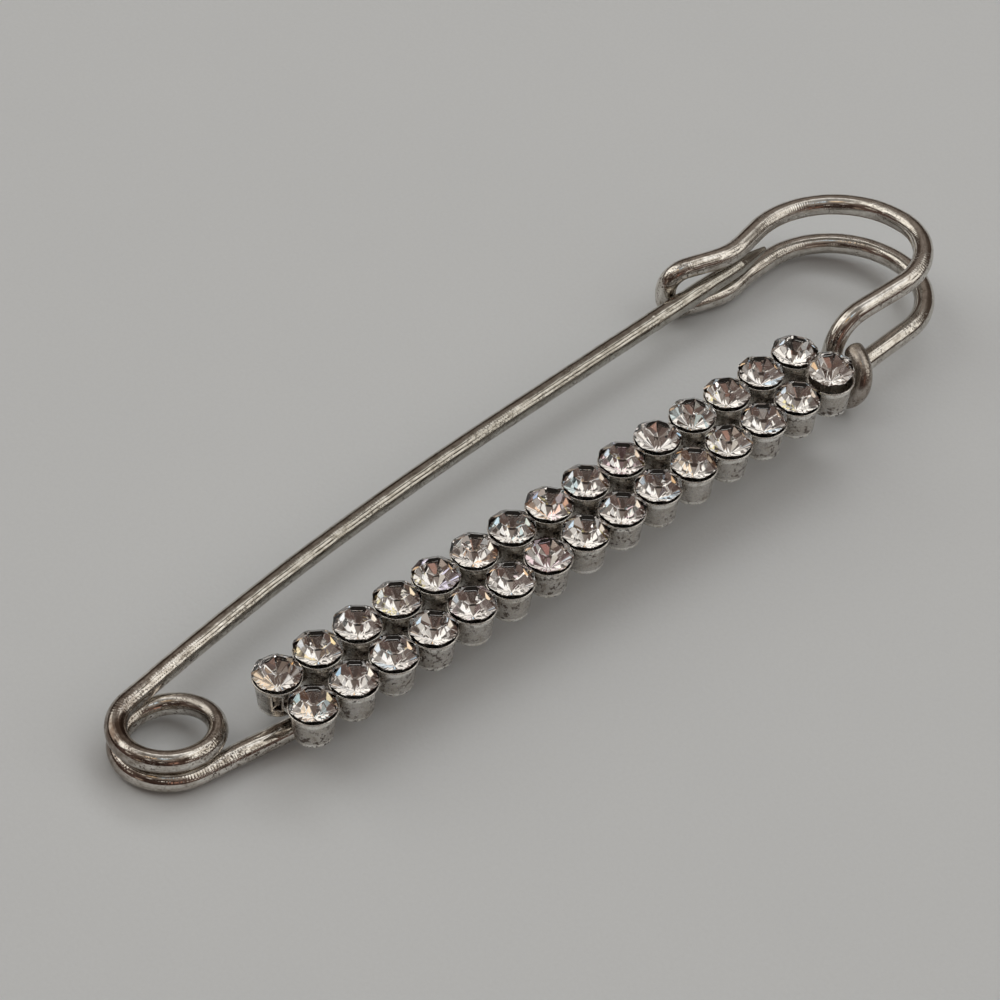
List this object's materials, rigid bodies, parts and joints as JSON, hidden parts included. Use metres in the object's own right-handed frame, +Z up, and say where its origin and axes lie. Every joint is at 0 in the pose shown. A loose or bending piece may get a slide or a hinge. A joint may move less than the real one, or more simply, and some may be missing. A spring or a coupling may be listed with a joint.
{
  "type": "safety pin brooch",
  "caption": "Long safety pin brooch: sprung wire pin with a coil and a looped head catch, two rows of round stone cups along the back arm.",
  "frame": {"origin": "middle of the footprint of the lying brooch, on the surface that it rests on", "axes": "+X along the brooch from the coil to the looped head, +Y from the stone rows toward the pin arm, +Z up from the surface, out of the stones' tables"},
  "size_m": [0.0748, 0.0174, 0.0074],
  "materials": {
    "wire": "polished plated steel wire, worn, with dark specks",
    "cups": "plated brass cup chain, tarnished grey-brown with brighter rims",
    "stones": "clear faceted glass with a foiled back"
  },
  "bodies": {
    "frame": {"coil": "wire", "wire_frame": "wire", "cup_bar": "cups", "stone_back_01": "stones", "stone_back_02": "stones", "stone_back_03": "stones", "stone_back_04": "stones", "stone_back_05": "stones", "stone_back_06": "stones", "stone_back_07": "stones", "stone_back_08": "stones", "stone_back_09": "stones", "stone_back_10": "stones", "stone_back_11": "stones", "stone_back_12": "stones", "stone_back_13": "stones", "stone_back_14": "stones", "stone_back_15": "stones", "stone_front_01": "stones", "stone_front_02": "stones", "stone_front_03": "stones", "stone_front_04": "stones", "stone_front_05": "stones", "stone_front_06": "stones", "stone_front_07": "stones", "stone_front_08": "stones", "stone_front_09": "stones", "stone_front_10": "stones", "stone_front_11": "stones", "stone_front_12": "stones", "stone_front_13": "stones", "stone_front_14": "stones", "stone_front_15": "stones"},
    "pin": {"pin_arm": "wire"}
  },
  "joints": [
    {"name": "pin_swing", "type": "hinge", "parent": "frame", "child": "pin", "pos_m": [-0.03352, -0.00172, 0.00165], "axis": [-0.0216, 0.5149, 0.857], "range_deg": [-12, 0], "stiffness_Nm_per_rad": 0.01, "springref_deg": 8.59, "deforming": ["coil"]}
  ]
}
